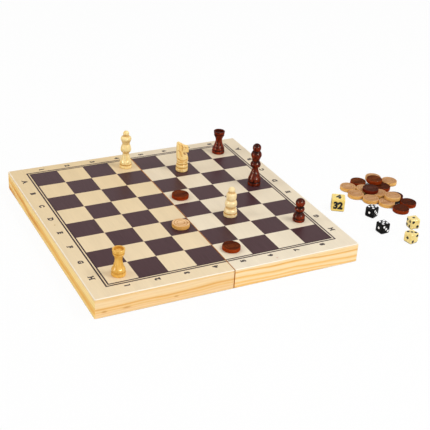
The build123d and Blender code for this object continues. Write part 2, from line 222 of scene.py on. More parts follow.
def pine(name, turn, heart, layers, sweep=(-100, 100, 0, 0), knots=()):
    """Pine whose grain runs along X, or along Y with a quarter turn.

    Heart is where the log's heart line passes, layers are the tones met on the way out
    from it, and sweep is the stretch of length over which the grain climbs or falls."""
    material, tree, shader, place = start_material(
        name, Roughness=0.45, IOR=1.5, Specular_IOR_Level=0.3
    )
    along = add_node(tree, "Mapping", values={"Rotation": (0, 0, turn)}, links={"Vector": place})
    length, deep, high = add_node(tree, "SeparateXYZ", links={"Vector": along}).outputs
    sway = add_node(
        tree, "MapRange", values=span(NOISE_LOW, NOISE_HIGH, -BEND_SWAY, BEND_SWAY),
        links={"Value": streaks(tree, along, BEND_SIZE, 2.0, 0.45)},
    )
    climb = add_node(tree, "MapRange", SMOOTH, span(*sweep), {"Value": length})
    risen = high
    for rise in (climb, sway):
        risen = add_node(tree, "Math", {"operation": "ADD"}, links={0: risen, 1: rise})
    from_heart = add_node(tree, "CombineXYZ", links={"Y": deep, "Z": risen})
    radius = add_node(
        tree, "VectorMath", {"operation": "DISTANCE"}, {1: (0, *heart)}, {0: from_heart}
    )
    # ten whole runs more, so that no count of runs is less than 0
    run = add_node(
        tree, "Math", {"operation": "MULTIPLY_ADD"},
        values={1: 1 / RING_RUN, 2: heart[1] / RING_RUN + 10}, links={0: radius},
    )
    ring = add_node(tree, "Math", {"operation": "FRACT"}, links={0: run})
    colour = add_node(
        tree, "ValToRGB", links={"Fac": ring},
        stops=[(distance / RING_RUN, tone) for distance, tone in layers],
    )
    fibres = streaks(tree, along, PINE_FIBRE, 3.0, 0.6)
    colour = vary(tree, colour, fibres, 0.95, 1.04)
    for spot, wide, tall, tint in knots:
        away = add_node(tree, "VectorMath", {"operation": "SUBTRACT"}, {1: spot}, {0: place})
        flattened = add_node(
            tree, "VectorMath", {"operation": "MULTIPLY"},
            values={1: (1 / wide, 1 / KNOT_DEPTH, 1 / tall)}, links={0: away},
        )
        reach = add_node(tree, "VectorMath", {"operation": "LENGTH"}, links={0: flattened})
        in_knot = add_node(tree, "MapRange", SMOOTH, span(*KNOT_FADE), {"Value": reach})
        colour = add_node(
            tree, "Mix", COLOURS, {MIX_B: linear(tint)}, {MIX_FACTOR: in_knot, MIX_A: colour}
        )
    # painted shade: the faces beside the fold are browned as the seam gap's shade
    across = add_node(tree, "SeparateXYZ", links={"Vector": place})
    from_fold = add_node(tree, "Math", {"operation": "ABSOLUTE"}, links={0: across})
    seam_shade = add_node(tree, "ValToRGB", links={"Fac": from_fold}, stops=FOLD_SEAM_SHADE_SHARE)
    colour = add_node(
        tree, "Mix", COLOURS, {MIX_B: linear(FOLD_SEAM_SHADE)}, {MIX_FACTOR: seam_shade, MIX_A: colour}
    )
    lay_on(tree, shader, colour, fibres, 0.25, 0.05)
    return material


def even_layers(early, middle, late, gap=5.0):
    """Rings of one width: pale spring wood that darkens slowly to a sharp summer line."""
    return [
        (ring * gap + part * gap, tone)
        for ring in range(int(RING_RUN / gap))
        for part, tone in ((0.05, early), (0.5, middle), (0.9, late))
    ]


# %% Saw the rails
QUARTER = math.pi / 2
# what each visible side shows, from its foot up: the height, and the tone there
FRONT_LEFT_LAYERS = [
    (0, "#F6D29C"), (1.8, "#F1C78C"), (3, "#F8D7A4"), (4.4, "#F0C488"), (5.8, "#F6D19A"),
    (7.6, "#EEBC70"), (9, "#F5D096"), (10.2, "#F1C482"), (11.4, "#E4A544"), (13, "#F3CC90"),
    (16, "#F7D9A8"), (17.6, "#F4D09C"), (19, "#F7D9AA"), (22.6, "#F2CA8C"), (24.4, "#E6B060"),
    (25.6, "#F6D49C"),
]
FRONT_RIGHT_LAYERS = [
    (0, "#FAD598"), (2.6, "#F4BE64"), (4.2, "#FBDDAA"), (6.6, "#F5C068"), (8.8, "#FCE0B0"),
    (11, "#FBD99E"), (13.4, "#F3BB5E"), (15.2, "#FBDBA4"), (18.5, "#FCE1B6"), (20.2, "#F8CF86"),
    (21.2, "#E8A43C"), (22.4, "#FAD79C"), (25, "#F9D696"),
]
LEFT_LAYERS = [
    (0, "#F6CE7A"), (1.8, "#FCDC8E"), (3.2, "#F2C05E"), (4.6, "#FCDE90"), (7, "#F4BE5A"),
    (9.6, "#EEAE3C"), (11.2, "#F0B64A"), (13, "#F4C668"), (14.4, "#EEBA58"), (16.4, "#FDDE92"),
    (18.6, "#F8D27A"), (20, "#FEE29A"), (21.6, "#F6D078"), (23, "#FEE29A"),
]
BACK_LAYERS = even_layers("#F6DAAC", "#F3D09A", "#E8B468")
RIGHT_LAYERS = even_layers("#F6DAAC", "#F1CC92", "#E6B066")
LEFT_FOLD_LAYERS = even_layers("#F2D294", "#EBC480", "#DDA050")
BROWN_FLECK, HONEY_STREAK = "#D09448", "#D88C0C"
# each knot or streak: its place, half its width, half its height and its tone
FRONT_KNOTS = [
    ((-160.5, -BOARD_HALF_LENGTH, 7.0), 3.2, 1.2, BROWN_FLECK),
    ((-134.0, -BOARD_HALF_LENGTH, 6.6), 4.5, 1.0, BROWN_FLECK),
    ((-74.0, -BOARD_HALF_LENGTH, 6.8), 2.6, 0.9, BROWN_FLECK),
]
LEFT_STREAKS = [
    ((-BOARD_HALF_WIDTH, 112.0, 11.6), 6.0, 2.4, HONEY_STREAK),
    ((-BOARD_HALF_WIDTH, 58.0, 7.8), 6.0, 2.8, HONEY_STREAK),
    ((-BOARD_HALF_WIDTH, 158.0, 2.6), 6.0, 3.6, HONEY_STREAK),
]
# each rail's turn, heart line and layers, and where they are known its sweep and knots
RAILS = {
    "right_front": (0, (-158, -70), FRONT_RIGHT_LAYERS, (70, 175, 0, 3.2)),
    "left_front": (0, (-158, -90), FRONT_LEFT_LAYERS, (-170, 0, -0.4, -1.4), FRONT_KNOTS),
    "left_outer": (QUARTER, (-158, -80), LEFT_LAYERS, (-150, -60, -6, 0), LEFT_STREAKS),
    "right_back": (0, (150, -12), BACK_LAYERS),
    "left_back": (0, (152, -20), BACK_LAYERS),
    "right_outer": (QUARTER, (150, -18), RIGHT_LAYERS),
    "left_fold": (QUARTER, (-20, -14), LEFT_FOLD_LAYERS),
    "right_fold": (QUARTER, (20, -14), RIGHT_LAYERS),
}
for rail, cut in RAILS.items():
    finish_with(nodes[rail + "_rail"], pine("pine_" + rail, *cut))
print(len(RAILS), "rails of pine")

# %% [markdown]
# ## The printed board
# Each playing face is a thin sheet of pale plywood, screen printed with brown ink and
# varnished. The squares and the double border could be separate inlays, but print has
# no thickness that the eye could catch, so they are a mask in the material: a checker
# inside the grid, and two lines at set distances outside it. A little noise on the
# mask's edge gives the ink the slight bleed of print on open grain.


# %% Define the printed plywood
# the size of a fibre, and of the slow clouds of tone in the veneer
VENEER_FIBRE, VENEER_CLOUD = (0.9, 30, 1), (14, 90, 1)
INK_BLEED = 0.06
INK_DEEP, INK_THIN, LINE_INK = "#3F2528", "#4B3034", "#331A1E"
# the tone of the painted highlight on the rounded top edges
ARRIS_HIGHLIGHT = "#FBF2E4"
# from how far inside the board's edge to where the painted highlight grows, and from none to how
# much
ARRIS_HIGHLIGHT_REACH = (-1.7, -0.5, 0.0, 0.75)
# the heights at which ink, the painted highlight and veneer end above the sheet's plain side
INK_FOOT = BOARD_TOP - 0.1
ARRIS_HIGHLIGHT_FOOT = (BOARD_TOP - 0.9, BOARD_TOP - 0.3)
VENEER_FOOT = (BOARD_TOP - 1.1, BOARD_TOP - 0.7)
# painted shade of the seam along the fold, a brown line: where it fades, from full to none
FOLD_SEAM_SHADE_FADE = (0.4, 0.75, 1.0, 0.0)
# each border line: its middle, counted out from the grid's edge, and half its width
BORDER_LINES = [(0.8, 0.95), (4.2, 1.0)]


def printed_plywood(name, back, front, side, knots):
    """Printed plywood with its tones at the back and the front, the front paler as painted light,
    and those of its side.

    A knot has a place, a radius and a tone."""
    material, tree, shader, place = start_material(
        name, Roughness=0.34, IOR=1.5, Specular_IOR_Level=0.12
    )
    across, deep, high = add_node(tree, "SeparateXYZ", links={"Vector": place}).outputs
    fibres = streaks(tree, place, VENEER_FIBRE, 4.0, 0.6)
    clouds = streaks(tree, place, VENEER_CLOUD, 2.0)
    # painted light: the veneer pales towards the front, as the light falls off towards the back
    depth = add_node(
        tree, "MapRange", None, span(-BOARD_HALF_LENGTH, BOARD_HALF_LENGTH), {"Value": deep}
    )
    veneer = add_node(
        tree, "Mix", COLOURS, {MIX_A: linear(front), MIX_B: linear(back)}, {MIX_FACTOR: depth}
    )
    veneer = vary(tree, veneer, clouds, 0.965, 1.03)
    veneer = vary(tree, veneer, fibres, 0.96, 1.03)
    for spot, size, tint in knots:
        away = add_node(tree, "VectorMath", {"operation": "DISTANCE"}, {1: spot}, {0: place})
        near = add_node(
            tree, "MapRange", SMOOTH, span(0.3 * size, size, 0.85, 0.0), {"Value": away}
        )
        veneer = add_node(
            tree, "Mix", COLOURS, {MIX_B: linear(tint)}, {MIX_FACTOR: near, MIX_A: veneer}
        )

    def beyond(middle, half_across, half_deep):
        """How far a point lies outside a rectangle about (0, middle), less than 0 inside."""
        outside = []
        for axis, centre, half in ((across, 0.0, half_across), (deep, middle, half_deep)):
            from_middle = add_node(
                tree, "Math", {"operation": "SUBTRACT"}, {1: centre}, {0: axis}
            )
            reach = add_node(tree, "Math", {"operation": "ABSOLUTE"}, links={0: from_middle})
            outside.append(add_node(
                tree, "Math", {"operation": "SUBTRACT"}, values={1: half}, links={0: reach}
            ))
        return add_node(
            tree, "Math", {"operation": "MAXIMUM"}, links={0: outside[0], 1: outside[1]}
        )

    past_grid = beyond(GRID_BACK, GRID_EDGE, GRID_EDGE)
    past_board = beyond(0.0, BOARD_HALF_WIDTH, BOARD_HALF_LENGTH)
    bleed = add_node(
        tree, "Math", {"operation": "MULTIPLY_ADD"}, {1: INK_BLEED}, {0: fibres, 2: past_grid}
    )
    print_place = add_node(
        tree, "Mapping", values={"Location": (0, -GRID_BACK, 0)}, links={"Vector": place}
    )
    squares = add_node(
        tree, "TexChecker",
        values={"Scale": 1 / SQUARE, "Color1": (1, 1, 1, 1), "Color2": (0, 0, 0, 1)},
        links={"Vector": print_place},
    ).outputs["Fac"]
    on_grid = add_node(tree, "Math", {"operation": "LESS_THAN"}, {1: 0.0}, {0: past_grid})
    ink = add_node(tree, "Math", {"operation": "MULTIPLY"}, links={0: squares, 1: on_grid})
    ink_tone = add_node(
        tree, "ValToRGB", links={"Fac": fibres},
        stops=[(NOISE_LOW, INK_DEEP), (NOISE_HIGH, INK_THIN)],
    )
    for middle, half_width in BORDER_LINES:
        line = add_node(
            tree, "Math", {"operation": "COMPARE"}, {1: middle, 2: half_width}, {0: bleed}
        )
        ink = add_node(tree, "Math", {"operation": "MAXIMUM"}, links={0: ink, 1: line})
        ink_tone = add_node(
            tree, "Mix", COLOURS, {MIX_B: linear(LINE_INK)}, {MIX_FACTOR: line, MIX_A: ink_tone}
        )
    on_face = add_node(tree, "Math", {"operation": "GREATER_THAN"}, {1: INK_FOOT}, {0: high})
    ink = add_node(tree, "Math", {"operation": "MULTIPLY"}, links={0: ink, 1: on_face})
    # painted highlight: the rounded arrises are lightened, as if they caught the light
    arris = add_node(tree, "MapRange", SMOOTH, span(*ARRIS_HIGHLIGHT_REACH), {"Value": past_board})
    above_side = add_node(tree, "MapRange", None, span(*ARRIS_HIGHLIGHT_FOOT), {"Value": high})
    arris = add_node(tree, "Math", {"operation": "MULTIPLY"}, links={0: arris, 1: above_side})
    highlit_veneer = add_node(
        tree, "Mix", COLOURS, {MIX_B: linear(ARRIS_HIGHLIGHT)}, {MIX_FACTOR: arris, MIX_A: veneer}
    )
    # the sheet's side shows the same pine-coloured wood as the rails below it
    side_wood = add_node(
        tree, "ValToRGB", links={"Fac": fibres},
        stops=[(NOISE_LOW, side[0]), (NOISE_HIGH, side[1])],
    )
    side_share = add_node(tree, "MapRange", None, span(*VENEER_FOOT, 1.0, 0.0), {"Value": high})
    wood = add_node(
        tree, "Mix", COLOURS, links={MIX_FACTOR: side_share, MIX_A: highlit_veneer, MIX_B: side_wood}
    )
    colour = add_node(tree, "Mix", COLOURS, links={MIX_FACTOR: ink, MIX_A: wood, MIX_B: ink_tone})
    # painted shade: along the fold the seam gap is darkened to a brown line
    from_fold = add_node(tree, "Math", {"operation": "ABSOLUTE"}, links={0: across})
    seam_shade = add_node(tree, "MapRange", SMOOTH, span(*FOLD_SEAM_SHADE_FADE), {"Value": from_fold})
    colour = add_node(
        tree, "Mix", COLOURS, {MIX_B: linear(FOLD_SEAM_SHADE)}, {MIX_FACTOR: seam_shade, MIX_A: colour}
    )
    lay_on(tree, shader, colour, fibres, 0.2, 0.03)
    return material


# %% Print the board
# each panel's front tone is paler than its back: painted light
finish_with(nodes["left_panel"], printed_plywood(
    "printed_plywood_left", "#E3C99C", "#EBD6B2", ("#ECC48A", "#F3CF96"),
    [((-159.5, 5.1, BOARD_TOP), 1.5, "#B8904A")],
))
finish_with(nodes["right_panel"], printed_plywood(
    "printed_plywood_right", "#E2D1B4", "#EBDDC4", ("#F9D8A4", "#FCE0B2"),
    [((59.9, -161.6, BOARD_TOP), 1.8, "#D9AF95")],
))
print("two printed panels with", len(BORDER_LINES), "border lines")

# %% [markdown]
# ## Turned wood of the men
# The light men are birch under clear lacquer and the dark ones are the same wood stained
# red before lacquering. Both are turned on a lathe from square sticks, so the grain runs
# up the piece: long fibres, cut by the beads and coves. The lacquer is a coat layer over
# a rougher wood, which gives the sharp small lights of the real men. Each man is cut
# from another stick, so each gets its own tone of the same wood.


# %% Define lacquered and stained wood
BIRCH_FIBRE = (1.1, 1.1, 14)
# where the deep and the pale tone of the figure lie
FIGURE_LOW, FIGURE_HIGH = 0.5, 0.92
# the slopes between which a face starts to count as sawn flat
SAWN_SLOPES = (0.75, 0.95)
# how far a surface looks for others for the painted cove shade, and the openness of a full cove
# and of an open face
COVE_REACH, COVE_OPENNESS = 4.0, (0.58, 0.96)
# half the width of the cut rings, and the height that their ramp covers
RING_WIDTH, RING_REACH = 0.9, 60.0
# across a ring: the place in half widths, and how free it is of the painted shade
RING_SHAPE = ((-1, 1.0), (-0.4, 0.1), (0.4, 0.1), (1, 1.0))


def turned_wood(
    name, pale, deep, cove_shade, coat, figure_run=40, grain_turn=0.0, top=None, rings=(), facing_shade=None
):
    """Wood with its fibres along Z, or along X when turned.

    Its shade tone is painted shade in its coves and cut rings, figure_run how far its figure runs
    along the grain before it changes, top the two tones of sawn faces, and rings the heights of
    its cut rings above its foot, where that shade is painted. The facing argument says where the
    painted shade spreads too, by the way a surface faces: between which two slopes of the surface,
    and how much."""
    material, tree, shader, place = start_material(
        name, Roughness=0.45, IOR=1.5, Specular_IOR_Level=0.15 * coat, Coat_Weight=coat,
        Coat_Roughness=0.08, Coat_IOR=1.5,
    )
    turned = add_node(
        tree, "Mapping", values={"Rotation": (0, grain_turn, 0)}, links={"Vector": place}
    )
    fibres = streaks(tree, turned, BIRCH_FIBRE, 3.0, 0.55)
    growth = streaks(tree, turned, (2.6, 6, figure_run), 1.0, 0.4)
    figure = add_node(
        tree, "Math", {"operation": "MULTIPLY_ADD"}, {1: 0.5}, {0: fibres, 2: growth}
    )
    colour = add_node(
        tree, "ValToRGB", links={"Fac": figure}, stops=[(FIGURE_LOW, deep), (FIGURE_HIGH, pale)]
    )
    facing = add_node(tree, "TexCoord").outputs["Normal"]
    upward = add_node(tree, "SeparateXYZ", links={"Vector": facing}).outputs["Z"]
    if top:
        flat = add_node(tree, "Math", {"operation": "ABSOLUTE"}, links={0: upward})
        share = add_node(tree, "MapRange", None, span(*SAWN_SLOPES), {"Value": flat})
        sawn = add_node(
            tree, "ValToRGB", links={"Fac": figure},
            stops=[(FIGURE_LOW, top[0]), (FIGURE_HIGH, top[1])],
        )
        colour = add_node(
            tree, "Mix", COLOURS, links={MIX_FACTOR: share, MIX_A: colour, MIX_B: sawn}
        )
    # painted shade: the coves and beads are darkened towards the shade tone where the surface sees
    # little open sky
    hollow = add_node(
        tree, "AmbientOcclusion", {"samples": 8, "only_local": True},
        values={"Distance": COVE_REACH * MM},
    ).outputs["AO"]
    openness = add_node(tree, "MapRange", None, span(*COVE_OPENNESS), {"Value": hollow})
    # painted shade by facing: faces turned one way take more of the shade tone
    if facing_shade:
        start, end, most = facing_shade
        shade_by_facing = add_node(
            tree, "MapRange", SMOOTH, span(start, end, 1.0, 1 - most), {"Value": upward}
        )
        openness = add_node(
            tree, "Math", {"operation": "MULTIPLY"}, links={0: openness, 1: shade_by_facing}
        )
    # painted shade: dark bands at the heights of the cut rings
    if rings:
        height = add_node(tree, "SeparateXYZ", links={"Vector": place}).outputs["Z"]
        height = add_node(
            tree, "MapRange", None, span(BOARD_TOP, BOARD_TOP + RING_REACH), {"Value": height}
        )
        clear = add_node(tree, "ValToRGB", links={"Fac": height}, stops=[
            ((ring + side * RING_WIDTH) / RING_REACH, share)
            for ring in rings for side, share in RING_SHAPE
        ])
        openness = add_node(
            tree, "Math", {"operation": "MULTIPLY"}, links={0: openness, 1: clear}
        )
    colour = add_node(
        tree, "Mix", COLOURS, {MIX_A: linear(cove_shade)}, {MIX_FACTOR: openness, MIX_B: colour}
    )
    lay_on(tree, shader, colour, fibres, 0.15, 0.03)
    return material


# %% Turn the men
LIGHT_LACQUER, DARK_LACQUER = 0.25, 0.15
# the painted shade of the coves and cut rings: golden on the light men, near black on the dark
GOLDEN_COVE_SHADE, DARK_COVE_SHADE = "#CA8C2C", "#1C0502"
LONG_FIGURE, MOTTLED = 40, 7
LIGHT_SHADE_AND_FINISH = (GOLDEN_COVE_SHADE, LIGHT_LACQUER, LONG_FIGURE)
DARK_SHADE_AND_FINISH = (DARK_COVE_SHADE, DARK_LACQUER, MOTTLED)
# painted dark reflection on the dark men's up-facing shoulders, and painted golden shade under the
# light men's beads
DARK_SHOULDER_SHADE, LIGHT_UNDERSIDE_SHADE = (0.2, 0.65, 0.7), (0.0, -0.5, 0.4)
# each man's pale and deep tones, and the heights of the rings cut round it, where shade is painted
MEN = {
    "queen_light": ("#FFE8AA", "#F7D488", (5.1,)),
    "knight_light": ("#FFE29E", "#F8CA78", (5.7, 10.8, 15.0)),
    "bishop_light": ("#FFEAB8", "#F8DA9C", (4.7,)),
    "rook_light": ("#F2C264", "#DEA240", (5.1, 29.0)),
    "king_dark": ("#7E280B", "#160301", (5.3, 35.2, 49.8)),
    "rook_dark": ("#902F0E", "#240702", (5.1, 29.0)),
    "pawn_dark": ("#902F0D", "#2C0903", (4.2, 12.8, 20.3)),
}
men_wood = {}
for man, (pale, deep, rings) in MEN.items():
    dark = man.endswith("dark")
    men_wood[man] = turned_wood(
        "turned_birch_" + man, pale, deep, *(DARK_SHADE_AND_FINISH if dark else LIGHT_SHADE_AND_FINISH),
        rings=rings, facing_shade=DARK_SHOULDER_SHADE if dark else LIGHT_UNDERSIDE_SHADE,
    )
    finish_with(nodes["chess_" + man], men_wood[man])
print(len(men_wood), "turned men")

# %% [markdown]
# The draughts are sliced from a round bar, turned on both faces and left satin. Their
# fibres run across the slice, so their tops are duller than their sides.

# %% Turn the draughts
SATIN = 0.04
LIGHT_SIDE, DARK_SIDE = ("#EBBA70", "#D89A48"), ("#9A3A12", "#702408")
# no two blanks take the stain alike: some of the heap came out redder, one duller
RUSSET_TOP = ("#4A220A", "#743A14")
DULL_SIDE, DULL_TOP = ("#6E2412", "#4A160A"), ("#321810", "#583226")
# by the start of a draught's name: its side's tones, the painted shade of its grooves and its
# top's tones
DRAUGHT_WOOD = {
    "draught_light": (LIGHT_SIDE, "#A86C2C", ("#D2A272", "#EFC696")),
    "draught_dark": (DARK_SIDE, "#2A0A04", ("#42190A", "#6C3112")),
    "heap_draught_light": (LIGHT_SIDE, "#986026", ("#B08058", "#CCA076")),
    "heap_draught_dark": (DARK_SIDE, "#200803", ("#2C1006", "#502410")),
    "heap_draught_dark_1": (DARK_SIDE, "#2A0A04", RUSSET_TOP),
    "heap_draught_dark_2": (DARK_SIDE, "#2A0A04", RUSSET_TOP),
    "heap_draught_dark_3": (DULL_SIDE, "#200803", DULL_TOP),
}
for family, (side, cove_shade, top) in DRAUGHT_WOOD.items():
    draught_wood = turned_wood(
        family.replace("draught", "draught_birch"), *side, cove_shade, SATIN, LONG_FIGURE, QUARTER, top
    )
    for node_name, node in nodes.items():
        if node_name.startswith(family):
            finish_with(node, draught_wood)
print(len(DRAUGHT_WOOD), "finishes of draughts")

# %% [markdown]
# ## Moulded dice and metal fittings
# The dice and the doubling cube are cast resin, tumbled until their edges are round, so
# they are smooth, slightly cloudy and shiny. The hinges are brass, brushed along their
# length, with steel pins, and the magnets are nickel plated.


# %% Define resin and metals
# the size of resin's clouds and of the grit left by tumbling, and of a brushed scratch
CLOUD_SIZE, GRIT_SIZE, SCRATCH_SIZE = (5, 5, 5), (0.5, 0.5, 0.5), (0.15, 6, 0.15)


def resin(name, body, cloud, roughness, gloss):
    """Cast resin with slow clouds of a second tone."""
    material, tree, shader, place = start_material(
        name, Roughness=roughness, IOR=1.53, Specular_IOR_Level=gloss
    )
    colour = add_node(
        tree, "ValToRGB", links={"Fac": streaks(tree, place, CLOUD_SIZE, 2.0)},
        stops=[(0.35, body), (0.7, cloud)],
    )
    lay_on(tree, shader, colour, streaks(tree, place, GRIT_SIZE, 2.0), 0.1, 0.01)
    return material


def metal(name, bright, dull, roughness):
    """Brushed along Y, with fine scratches in its colour and its roughness."""
    material, tree, shader, place = start_material(name, Metallic=1.0, Roughness=roughness)
    scratches = streaks(tree, place, SCRATCH_SIZE, 3.0)
    colour = add_node(
        tree, "ValToRGB", links={"Fac": scratches},
        stops=[(NOISE_LOW, dull), (NOISE_HIGH, bright)],
    )
    gloss = add_node(
        tree, "MapRange", None, span(0, 1, roughness - 0.08, roughness + 0.1),
        {"Value": scratches},
    )
    connect(tree, colour, shader.inputs["Base Color"])
    connect(tree, gloss, shader.inputs["Roughness"])
    return material


# %% Finish the dice and the fittings
cream_resin = resin("cream_resin", "#EDD07A", "#F4DE96", 0.28, 0.35)
black_resin = resin("black_resin", "#030304", "#080809", 0.25, 0.08)
brass = metal("brushed_brass", "#D9B45C", "#B08A3C", 0.3)
FITTINGS = {
    "leaf": brass, "screws": brass, "pin": metal("drawn_steel", "#B8B8B4", "#8E8E8A", 0.32),
    "magnets": metal("nickel_plate", "#C9C6BE", "#A9A69E", 0.25),
}
for node_name, node in nodes.items():
    last_word = node_name.split("_")[-1]
    if last_word in FITTINGS:
        finish_with(node, FITTINGS[last_word])
    elif node_name.startswith("die_"):
        finish_with(node, cream_resin if "cream" in node_name else black_resin)
finish_with(nodes["doubling_cube"], resin("yellow_resin", "#EFCE66", "#F4DA80", 0.3, 0.35))
print(len(FITTINGS), "kinds of fitting")

# %% [markdown]
# ## Printed letters and numbers
# The margins carry the letters A to H down the sides and the numbers 1 to 8 along the
# front and back. Their tops point to the board's middle on the sides, and along the edge
# at the front and back. Each could be painted in the material, but outlines of type are
# what a text object already has, so each is set as text, made a mesh a few hundredths of
# a millimetre thick, and laid on the face. Small bars at the ends of the strokes give
# the slab serifs.


# %% Define how pieces are picked, joined and placed
def only(piece):
    """Makes a piece the one that operators act on."""
    bpy.ops.object.select_all(action="DESELECT")
    piece.select_set(True)
    bpy.context.view_layer.objects.active = piece


def join(name, pieces):
    """Makes several pieces one, and names it."""
    only(pieces[0])
    for piece in pieces:
        piece.select_set(True)
    if len(pieces) > 1:
        bpy.ops.object.join()
    pieces[0].name = name
    pieces[0].data.name = name
    return pieces[0]


def bake_place(piece, place):
    """Moves a piece's mesh and leaves its object at the origin."""
    piece.data.transform(place)
    piece.matrix_world = Matrix.Identity(4)


def flat_place(x, y, z, turn=0.0):
    """A place on a level face, in millimetres and degrees."""
    return Matrix.Translation(Vector((x, y, z)) * MM) @ Matrix.Rotation(math.radians(turn), 4, "Z")


# %% Define the type
INK_THICKNESS = 0.02
# how far the foot of each glyph's serifs lie along its width, low ones and high ones
SERIFS = {
    "A": ((0.04, 0.96), ()), "B": ((0.08,), (0.08,)), "D": ((0.08,), (0.08,)),
    "E": ((0.08,), (0.08,)), "F": ((0.08,), (0.08,)), "H": ((0.08, 0.92), (0.08, 0.92)),
    "1": ((0.7,), ()), "4": ((0.72,), ()),
}
# a serif's length and width, as shares of the glyph's height
SERIF_LENGTH, SERIF_WIDTH = 0.42, 0.12


def set_type(text, height, weight, serifs=True):
    """Text as a thin mesh, its middle at the origin, its height as asked."""
    bpy.ops.object.text_add(location=(0, 0, 0))
    glyphs = bpy.context.object
    glyphs.data.body = text
    glyphs.data.resolution_u = 4
    glyphs.data.offset = weight
    glyphs.data.extrude = 0.001
    only(glyphs)
    bpy.ops.object.convert(target="MESH")
    glyphs = bpy.context.object
    corners = [Vector(corner) for corner in glyphs.bound_box]
    low = Vector(map(min, *corners))
    high = Vector(map(max, *corners))
    size = height * MM / (high.y - low.y)
    middle = (low + high) / 2
    thin = INK_THICKNESS * MM / (high.z - low.z)
    bake_place(glyphs, Matrix.Diagonal((size, size, thin, 1)) @ Matrix.Translation(-middle))
    half_wide, half_high = (high.x - low.x) / 2 * size, height * MM / 2
    bar_size = Matrix.Diagonal(
        (SERIF_LENGTH * height * MM, SERIF_WIDTH * height * MM, INK_THICKNESS * MM, 1)
    )
    bars = []
    for end, feet in zip((-1, 1), SERIFS.get(text, ((), ())) if serifs else ()):
        bar_y = end * (half_high - SERIF_WIDTH / 2 * height * MM)
        for foot in feet:
            bpy.ops.mesh.primitive_cube_add(size=1, location=(0, 0, 0))
            bar = bpy.context.object
            bake_place(bar, Matrix.Translation(((2 * foot - 1) * half_wide, bar_y, 0)) @ bar_size)
            bars.append(bar)
    return join("glyph", [glyphs, *bars])


# %% Define ink and paint
SPECK_SIZE = (0.4, 0.4, 0.4)


def matt_ink(name, colour, roughness):
    """Ink or paint with fine specks in its tone."""
    material, tree, shader, place = start_material(
        name, Roughness=roughness, IOR=1.5, Specular_IOR_Level=0.3
    )
    specks = streaks(tree, place, SPECK_SIZE, 2.0)
    tone = add_node(tree, "MapRange", None, span(0, 1, 0.85, 1.15), {"Value": specks})
    speckled = add_node(
        tree, "VectorMath", {"operation": "SCALE"}, {0: linear(colour)[:3]}, {"Scale": tone}
    )
    connect(tree, speckled, shader.inputs["Base Color"])
    return material


# %% Print the margins
brown_ink = matt_ink("screen_print_ink", "#2E1C1F", 0.5)
TYPE_HEIGHT, TYPE_WEIGHT = 7.2, 0.07
LETTER_REACH = GRID_EDGE + 0.37 * SQUARE
FRONT_REACH = GRID_EDGE + 0.28 * SQUARE
BACK_REACH = GRID_EDGE + 0.30 * SQUARE
# a print stands this far off the wood, so that its underside never flickers through
INK_GAP = 0.01
INK_LEVEL = BOARD_TOP + INK_THICKNESS / 2 + INK_GAP
# the middle of the first or the last square, in squares from the grid's middle
LAST_SQUARE = 3.5
prints = {"left_letters": [], "right_letters": [], "left_numbers": [], "right_numbers": []}
for step, letter in enumerate("ABCDEFGH"):
    y = GRID_BACK + (LAST_SQUARE - step) * SQUARE
    for side, group, turn in ((-1, "left_letters", -90), (1, "right_letters", 90)):
        glyph = set_type(letter, TYPE_HEIGHT, TYPE_WEIGHT)
        bake_place(glyph, flat_place(side * LETTER_REACH, y, INK_LEVEL, turn))
        prints[group].append(glyph)
for step, number in enumerate("12345678"):
    x = (step - LAST_SQUARE) * SQUARE
    group = "left_numbers" if x < 0 else "right_numbers"
    for y, turn in ((GRID_BACK - FRONT_REACH, 90), (GRID_BACK + BACK_REACH, -90)):
        glyph = set_type(number, TYPE_HEIGHT, TYPE_WEIGHT)
        bake_place(glyph, flat_place(x, y, INK_LEVEL, turn))
        prints[group].append(glyph)
for group, glyphs in prints.items():
    printed = join("printed_" + group, glyphs)
    finish_with(printed, brown_ink)
    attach(printed, group.split("_")[0] + "_half")
    print(printed.name, len(printed.data.polygons), "faces")

# %% [markdown]
# ## The backgammon field inside the case
# Closed, the case is a box, and opened the other way up its two trays are the
# backgammon table, so the inner faces carry twenty-four printed points. Each is a long
# triangle. A three-sided circle primitive, stretched to its width and height and given
# the thickness of ink, is the quickest true triangle.

# %% Define one point
POINTS_ACROSS = 6
TRAY_INNER, TRAY_OUTER, TRAY_END = 10.15, 161.7, 158.7
POINT_STEP = (TRAY_OUTER - TRAY_INNER) / POINTS_ACROSS
# a point is a little narrower than its step
POINT_WIDTH, POINT_HEIGHT = 0.94 * POINT_STEP, 127.0
POINT_LEVEL = PANEL_UNDERSIDE - INK_THICKNESS - INK_GAP


def print_point(place):
    """A long triangle of ink, with its base's middle at this place."""
    bpy.ops.mesh.primitive_circle_add(vertices=3, radius=1, fill_type="NGON")
    point = bpy.context.object
    bpy.ops.object.mode_set(mode="EDIT")
    bpy.ops.mesh.select_all(action="SELECT")
    bpy.ops.mesh.extrude_region_move(TRANSFORM_OT_translate={"value": (0, 0, INK_THICKNESS * MM)})
    bpy.ops.mesh.select_all(action="SELECT")
    bpy.ops.mesh.normals_make_consistent(inside=False)
    bpy.ops.object.mode_set(mode="OBJECT")
    # the primitive's tip is 1 above its middle and its base, sqrt(3) wide, 0.5 below
    stretch = Matrix.Diagonal((POINT_WIDTH * MM / math.sqrt(3), POINT_HEIGHT * MM / 1.5, 1, 1))
    bake_place(point, place @ stretch @ Matrix.Translation((0, 0.5, 0)))
    return point


